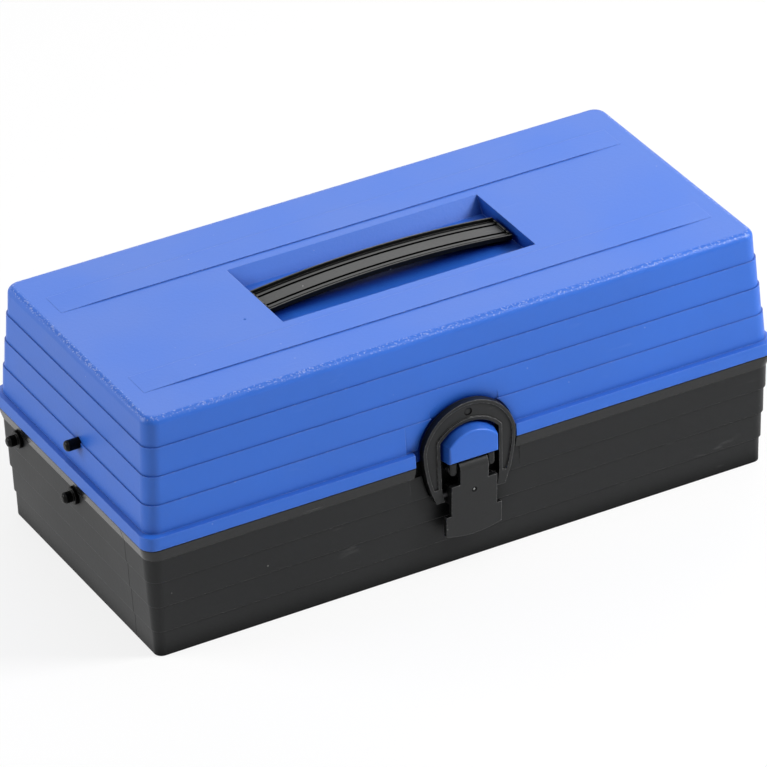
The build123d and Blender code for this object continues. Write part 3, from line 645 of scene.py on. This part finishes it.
@dataclass(frozen=True)
class LatchPlastic(MouldedPlastic):
    """Black plastic of the latch, with a painted glint and a painted shade ring on the lever's gate stub,
    and an ejector ring on the loop.

    Attributes:
        gate: x and z of the gate stub.
        gate_radius: radius of the painted glint on it.
        gate_core: radius inside which the painted glint has its full colour.
        gate_glint_color: colour of the painted glint.
        gate_shade_radius: radius of the painted shade ring round it.
        gate_shade_half_width: half the width of that ring.
        ring: x and z of the ejector ring.
        ring_radius: its radius.
        ring_half_width: half its width.
    """

    gate: Pair = (0.0, 0.0409)
    gate_radius: float = 0.0006
    gate_core: float = 0.0003
    gate_glint_color: Color = (0.45, 0.46, 0.45)
    gate_shade_radius: float = 0.00102
    gate_shade_half_width: float = 0.00054
    ring: Pair = (0.0, 0.079)
    ring_radius: float = 0.0017
    ring_half_width: float = 0.0005

    def distance(self, graph: Graph, centre: Pair) -> Socket:
        """Measures how far the surface is from a point, as the front view shows it.

        Args:
            graph: the material's graph.
            centre: x and z of the point.

        Returns:
            The distance.
        """
        inputs = {0: graph.place(), 1: (1.0, 0.0, 1.0)}
        flat = graph.add("ShaderNodeVectorMath", inputs, operation="MULTIPLY").outputs[0]
        return graph.measure("DISTANCE", flat, (centre[0], 0.0, centre[1]))

    def circle(self, graph: Graph, centre: Pair, radius: float, half_width: float) -> Socket:
        """Mask of a thin circle on the front."""
        off_circle = graph.math("SUBTRACT", self.distance(graph, centre), radius)
        return graph.ramp(graph.math("ABSOLUTE", off_circle), half_width, 0.0)

    def own_marks(self, graph: Graph) -> tuple[Level, Level]:
        """Finds the painted shade ring round the gate stub and the dark ring of the ejector mark.

        Args:
            graph: the material's graph.

        Returns:
            A mask of both, and no pebbled area.
        """
        ring = self.circle(graph, self.ring, self.ring_radius, self.ring_half_width)
        # Painted shade ring round the gate stub.
        gate_shade_ring = self.circle(graph, self.gate, self.gate_shade_radius, self.gate_shade_half_width)
        return graph.math("MAXIMUM", ring, gate_shade_ring), 0.0

    def add_marks(self, graph: Graph, color: Socket) -> Socket:
        """Colour with the painted glint on the gate stub."""
        # Painted glint: a grey spot on the gate stub.
        stub = graph.ramp(self.distance(graph, self.gate), self.gate_radius, self.gate_core)
        return graph.mix(stub, color, self.gate_glint_color)


@dataclass(frozen=True)
class GripPlastic(MouldedPlastic):
    """Black plastic of the handle, with painted shade along the grooves of its face and on its sides.

    Attributes:
        grooves: distance from the middle and half the width of each groove.
        groove_floor: part of that half width in which the painted shade is full.
        flank: the handle's sides lie further out than this.
        flank_shade: how much painted shade they take.
    """

    grooves: tuple[Pair, ...] = ((0.0041, 0.0009), (0.0075, 0.0013))
    groove_floor: float = 0.7
    flank: float = 0.00935
    flank_shade: float = 0.75

    def own_marks(self, graph: Graph) -> tuple[Level, Level]:
        """Finds the painted shade in the grooves and on the sides.

        Args:
            graph: the material's graph.

        Returns:
            A mask of the painted shade, and no pebbled area.
        """
        _, side, _ = graph.axes(graph.place())
        across = graph.math("ABSOLUTE", side)
        # Painted shade along each groove and on the handle's sides.
        groove_and_flank_shade: Level = 0.0
        for middle, half_width in self.grooves:
            away = graph.math("ABSOLUTE", graph.math("SUBTRACT", across, middle))
            groove = graph.ramp(away, half_width, half_width * self.groove_floor)
            groove_and_flank_shade = graph.math("MAXIMUM", groove_and_flank_shade, groove)
        on_flank = graph.math("MULTIPLY", graph.math("GREATER_THAN", across, self.flank), self.flank_shade)
        return graph.math("MAXIMUM", groove_and_flank_shade, on_flank), 0.0


@dataclass(frozen=True)
class DrawnSteel:
    """Finish of a pin cut from drawn and blackened wire.

    Attributes:
        name: name of the material.
        color: colour of the bright streaks.
        dulling: how much of it is left in the dull streaks.
        roughness: least roughness.
        streak_scale: streaks per metre.
        streak_stretch: scale of the streaks along each axis.
        streak_range: noise at which a streak is dull and at which it is bright.
        streak_roughness: roughness that a streak adds at most.
        streak_depth: depth of the streaks.
        edge: radius of the shading's soft edges.
    """

    name: str = "blackened_steel"
    color: Color = (0.1, 0.1, 0.105)
    dulling: float = 0.72
    roughness: float = 0.34
    streak_scale: float = 900.0
    streak_stretch: Place = (0.02, 1.0, 1.0)
    streak_range: Pair = (0.35, 0.65)
    streak_roughness: float = 0.16
    streak_depth: float = 0.00001
    edge: float = 0.0002

    def build(self) -> bpy.types.Material:
        """Makes the material.

        Returns:
            The new material.
        """
        material = bpy.data.materials.new(self.name)
        material.use_nodes = True
        graph = Graph(material.node_tree)
        shader = material.node_tree.nodes["Principled BSDF"]
        streaks = graph.noise(graph.turned_place(self.streak_stretch), self.streak_scale)
        edge = SOFT_EDGE.place(graph, Radius=self.edge)
        dull = tuple(c * self.dulling for c in self.color)
        color = graph.mix(graph.ramp(streaks, *self.streak_range), dull, self.color)
        rough = graph.math("MULTIPLY_ADD", streaks, self.streak_roughness, self.roughness)
        inputs = {"Height": streaks, "Distance": self.streak_depth, "Normal": edge["Normal"]}
        shader.inputs["Metallic"].default_value = 1.0
        graph.feed(color, shader.inputs["Base Color"])
        graph.feed(rough, shader.inputs["Roughness"])
        graph.feed(graph.add("ShaderNodeBump", inputs).outputs[0], shader.inputs["Normal"])
        return material


@dataclass
class Wardrobe:
    """Makes each finish once and puts it on nodes.

    Attributes:
        finishes: finish of each slot.
        made: materials made so far.
    """

    finishes: dict[Slot, Any] = field(
        default_factory=lambda: {
            Slot.BASE: BasePlastic(
                name="base_black",
                color=(0.0102, 0.0108, 0.0114),
                roughness=0.44,
                specular=0.26,
                wear=Wear.HANDLED,
                steps=(0.0133, 0.02665, 0.04),
                upward=-1.0,
            ),
            Slot.LID: LidPlastic(
                name="lid_blue",
                color=(0.021, 0.128, 0.575),
                roughness=0.4,
                specular=0.4,
                tone=0.05,
                steps=(0.0788, 0.0924, 0.1061),
                painted_shade_color=(0.0, 0.0, 0.1),
                line_shade=0.7,
                edge_highlight_strength=0.5,
            ),
            Slot.HANDLE: GripPlastic(
                name="handle_black",
                color=(0.014, 0.0145, 0.014),
                roughness=0.4,
                line_shade=0.1,
                edge_highlight_strength=0.4,
                wear=Wear.HANDLED,
            ),
            Slot.LATCH: LatchPlastic(
                name="latch_black",
                color=(0.0115, 0.012, 0.0125),
                roughness=0.4,
                specular=0.3,
                edge=0.0005,
                edge_highlight_strength=0.6,
                line_shade=0.1,
            ),
            Slot.STUD: MouldedPlastic(
                name="stud_gloss",
                color=(0.0015, 0.0015, 0.0015),
                roughness=0.16,
                specular=0.1,
                grain=0.000005,
                grain_scale=500.0,
                edge_highlight_strength=0.1,
            ),
            Slot.ARM: MouldedPlastic(
                name="arm_black",
                color=(0.016, 0.016, 0.017),
                roughness=0.45,
                wear=Wear.SHELTERED,
            ),
            Slot.TRAY: MouldedPlastic(
                name="tray_grey",
                color=(0.3, 0.32, 0.34),
                wear=Wear.SHELTERED,
                painted_shade_color=(0.12, 0.13, 0.14),
            ),
            Slot.PIN: DrawnSteel(),
        }
    )
    made: dict[Slot, bpy.types.Material] = field(default_factory=dict)

    def dress(self, piece: bpy.types.Object, slot: Slot) -> None:
        """Gives a node its finish and its slot.

        Args:
            piece: the node's object.
            slot: the slot of the record.
        """
        if slot not in self.made:
            self.made[slot] = self.finishes[slot].build()
        piece.data.materials.clear()
        piece.data.materials.append(self.made[slot])


@dataclass
class SubAssembly:
    """CAD nodes that belong together.

    Attributes:
        wardrobe: maker of the finishes.
        nodes: slot of each node.
    """

    wardrobe: Wardrobe
    nodes: dict[str, Slot] = field(default_factory=dict)

    def build(self) -> None:
        """Dresses every node of the sub-assembly."""
        for name, slot in self.nodes.items():
            self.wardrobe.dress(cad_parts[name], slot)
            log.info("dressed %s in %s", name, slot.value)


@dataclass
class BaseCase(SubAssembly):
    """Base shell with its studs, hinge pins and latch pin."""

    nodes: dict[str, Slot] = field(
        default_factory=lambda: {
            "base_shell": Slot.BASE,
            "base_pivot_studs": Slot.STUD,
            "hinge_pin_left": Slot.PIN,
            "hinge_pin_right": Slot.PIN,
            "latch_pin": Slot.PIN,
        }
    )


@dataclass
class LidCase(SubAssembly):
    """Lid shell with its studs."""

    nodes: dict[str, Slot] = field(
        default_factory=lambda: {"lid_shell": Slot.LID, "lid_pivot_studs": Slot.STUD}
    )


@dataclass
class CarryHandle(SubAssembly):
    """Handle that rises out of the lid, and its stop clips."""

    nodes: dict[str, Slot] = field(
        default_factory=lambda: {"carry_handle": Slot.HANDLE, "handle_stop_clips": Slot.HANDLE}
    )


@dataclass
class FrontLatch(SubAssembly):
    """Lever, loop and the short pins that join them."""

    nodes: dict[str, Slot] = field(
        default_factory=lambda: {
            "latch_lever": Slot.LATCH,
            "latch_loop": Slot.LATCH,
            "loop_pivot_pins": Slot.PIN,
        }
    )


@dataclass
class TrayLift(SubAssembly):
    """Tray, its dividers, and the arms and links that raise it."""

    nodes: dict[str, Slot] = field(
        default_factory=lambda: {
            "tray": Slot.TRAY,
            "tray_pivot_studs": Slot.STUD,
            "link_rivets": Slot.STUD,
            **{f"tray_divider_{place}": Slot.TRAY for place in ("left", "middle", "right")},
            **{
                f"{bar}_{side}": Slot.ARM
                for bar in ("rear_arm", "front_arm", "lid_link")
                for side in ("left", "right")
            },
        }
    )


@dataclass
class PhotoCamera:
    """Camera at the photograph's place and angle.

    Attributes:
        place: where the camera stands.
        azimuth: degrees from looking along +Y.
        elevation: degrees above the horizon.
        roll: degrees about the line of sight.
        lens: focal length in millimetres.
        sensor: width of the sensor in millimetres.
        shift: how far the picture's middle lies off the line of sight, in picture widths.
    """

    place: Place = (-1.18887, -2.23563, 1.59236)
    azimuth: float = -28.0163
    elevation: float = 31.2795
    roll: float = -2.03
    lens: float = 309.43
    sensor: float = 36.0
    shift: Pair = (-0.00473, 0.00035)

    def build(self) -> None:
        """Makes the camera and gives it to the scene."""
        data = bpy.data.cameras.new("photo_camera")
        data.lens = self.lens
        data.sensor_width = self.sensor
        data.shift_x, data.shift_y = self.shift
        camera = bpy.data.objects.new("photo_camera", data)
        turn, rise, roll = (math.radians(angle) for angle in (self.azimuth, self.elevation, self.roll))
        aim = Matrix.Rotation(turn, 4, "Z") @ Matrix.Rotation(math.pi / 2 - rise, 4, "X")
        camera.matrix_world = Matrix.Translation(self.place) @ aim @ Matrix.Rotation(roll, 4, "Z")
        bpy.context.scene.collection.objects.link(camera)
        bpy.context.scene.camera = camera
        log.info("camera stands at %s", self.place)


@dataclass(frozen=True)
class SoftLamp:
    """A large rectangular lamp that shines at the middle of the box.

    Attributes:
        name: name of the lamp.
        azimuth: degrees round the box from its front, towards its right end.
        elevation: degrees above the horizon.
        distance: how far it stands from the middle of the box.
        size: its two sides.
        power: its power in watts.
    """

    name: str
    azimuth: float
    elevation: float
    distance: float
    size: Pair
    power: float

    def build(self, target: Vector) -> None:
        """Makes the lamp.

        Args:
            target: point that the lamp faces.
        """
        data = bpy.data.lights.new(self.name, "AREA")
        data.shape = "RECTANGLE"
        data.size, data.size_y = self.size
        data.energy = self.power
        lamp = bpy.data.objects.new(self.name, data)
        turn, rise = math.radians(self.azimuth), math.radians(self.elevation)
        back = Vector((math.sin(turn) * math.cos(rise), -math.cos(turn) * math.cos(rise), math.sin(rise)))
        lamp.location = target + back * self.distance
        lamp.rotation_euler = (-back).to_track_quat("-Z", "Y").to_euler()
        lamp.visible_camera = False
        bpy.context.scene.collection.objects.link(lamp)


@dataclass
class Studio:
    """White sweep, pale world and soft lamps.

    Attributes:
        floor_half: half the width of the floor.
        floor_color: colour of the floor.
        floor_glow: how far the eye sees the floor as plain white.
        world_fill: strength of the world's light on the object.
        world_shown: strength at which the eye sees the world and the floor's glow.
        lamps: the soft lamps.
    """

    floor_half: float = 8.0
    floor_color: Color = (0.9, 0.9, 0.9)
    floor_glow: float = 0.8
    world_fill: float = 0.1
    world_shown: float = 1.0
    lamps: tuple[SoftLamp, ...] = (
        SoftLamp("overhead", azimuth=15.0, elevation=75.0, distance=2.2, size=(2.0, 1.6), power=14.0),
        SoftLamp("key_right", azimuth=58.0, elevation=34.0, distance=1.6, size=(0.5, 0.5), power=26.0),
        SoftLamp("behind", azimuth=152.0, elevation=32.0, distance=2.4, size=(2.2, 1.4), power=16.0),
        SoftLamp("left_end", azimuth=-115.0, elevation=24.0, distance=1.8, size=(1.0, 1.0), power=18.0),
    )

    def seen_by_eye(self, graph: Graph) -> Socket:
        """Finds the rays that show the background.

        Args:
            graph: the graph of the world or of the floor's material.

        Returns:
            1 for a ray from the camera, a reflection or a transmission.
        """
        path = graph.add("ShaderNodeLightPath").outputs
        shown = graph.math("MAXIMUM", path["Is Camera Ray"], path["Is Glossy Ray"])
        return graph.math("MAXIMUM", shown, path["Is Transmission Ray"])

    def build_world(self) -> None:
        """Makes the world: white to the eye, and a soft fill to the object."""
        world = bpy.data.worlds.new("pale_world")
        world.use_nodes = True
        world.node_tree.nodes.clear()
        graph = Graph(world.node_tree)
        strength = graph.ramp(self.seen_by_eye(graph), 0.0, 1.0, self.world_fill, self.world_shown)
        background = graph.add("ShaderNodeBackground", {"Color": (1, 1, 1, 1), "Strength": strength})
        graph.add("ShaderNodeOutputWorld", {"Surface": background.outputs[0]})
        bpy.context.scene.world = world

    def build_floor(self) -> None:
        """Makes the floor, which keeps the object's shadow."""
        mesh = bpy.data.meshes.new("studio_floor")
        half = self.floor_half
        corners = [(-half, -half, 0.0), (half, -half, 0.0), (half, half, 0.0), (-half, half, 0.0)]
        mesh.from_pydata(corners, [], [(0, 1, 2, 3)])
        floor = bpy.data.objects.new("studio_floor", mesh)
        material = bpy.data.materials.new("pale_floor")
        material.use_nodes = True
        material.node_tree.nodes.clear()
        graph = Graph(material.node_tree)
        matte = graph.add("ShaderNodeBsdfDiffuse", {"Color": as_rgba(self.floor_color)}).outputs[0]
        shown = {"Color": (1, 1, 1, 1), "Strength": self.world_shown}
        glow = graph.add("ShaderNodeEmission", shown).outputs[0]
        share = graph.math("MULTIPLY", self.seen_by_eye(graph), self.floor_glow)
        mixed = graph.add("ShaderNodeMixShader", {0: share, 1: matte, 2: glow}).outputs[0]
        graph.add("ShaderNodeOutputMaterial", {"Surface": mixed})
        mesh.materials.append(material)
        bpy.context.scene.collection.objects.link(floor)

    def build(self) -> None:
        """Makes the world, the floor and the lamps."""
        bpy.context.scene.view_settings.view_transform = "Standard"
        self.build_world()
        self.build_floor()
        low, high = CAD_BOX
        for lamp in self.lamps:
            lamp.build((low + high) / 2)
        log.info("studio has %d lamps", len(self.lamps))


def main() -> None:
    """Builds the sub-assemblies in order, then the studio and the camera."""
    logging.basicConfig(level=logging.INFO, format="%(message)s")
    wardrobe = Wardrobe()
    for kind in (BaseCase, LidCase, CarryHandle, FrontLatch, TrayLift):
        kind(wardrobe).build()
    Studio().build()
    PhotoCamera().build()


if __name__ == "__main__":
    main()
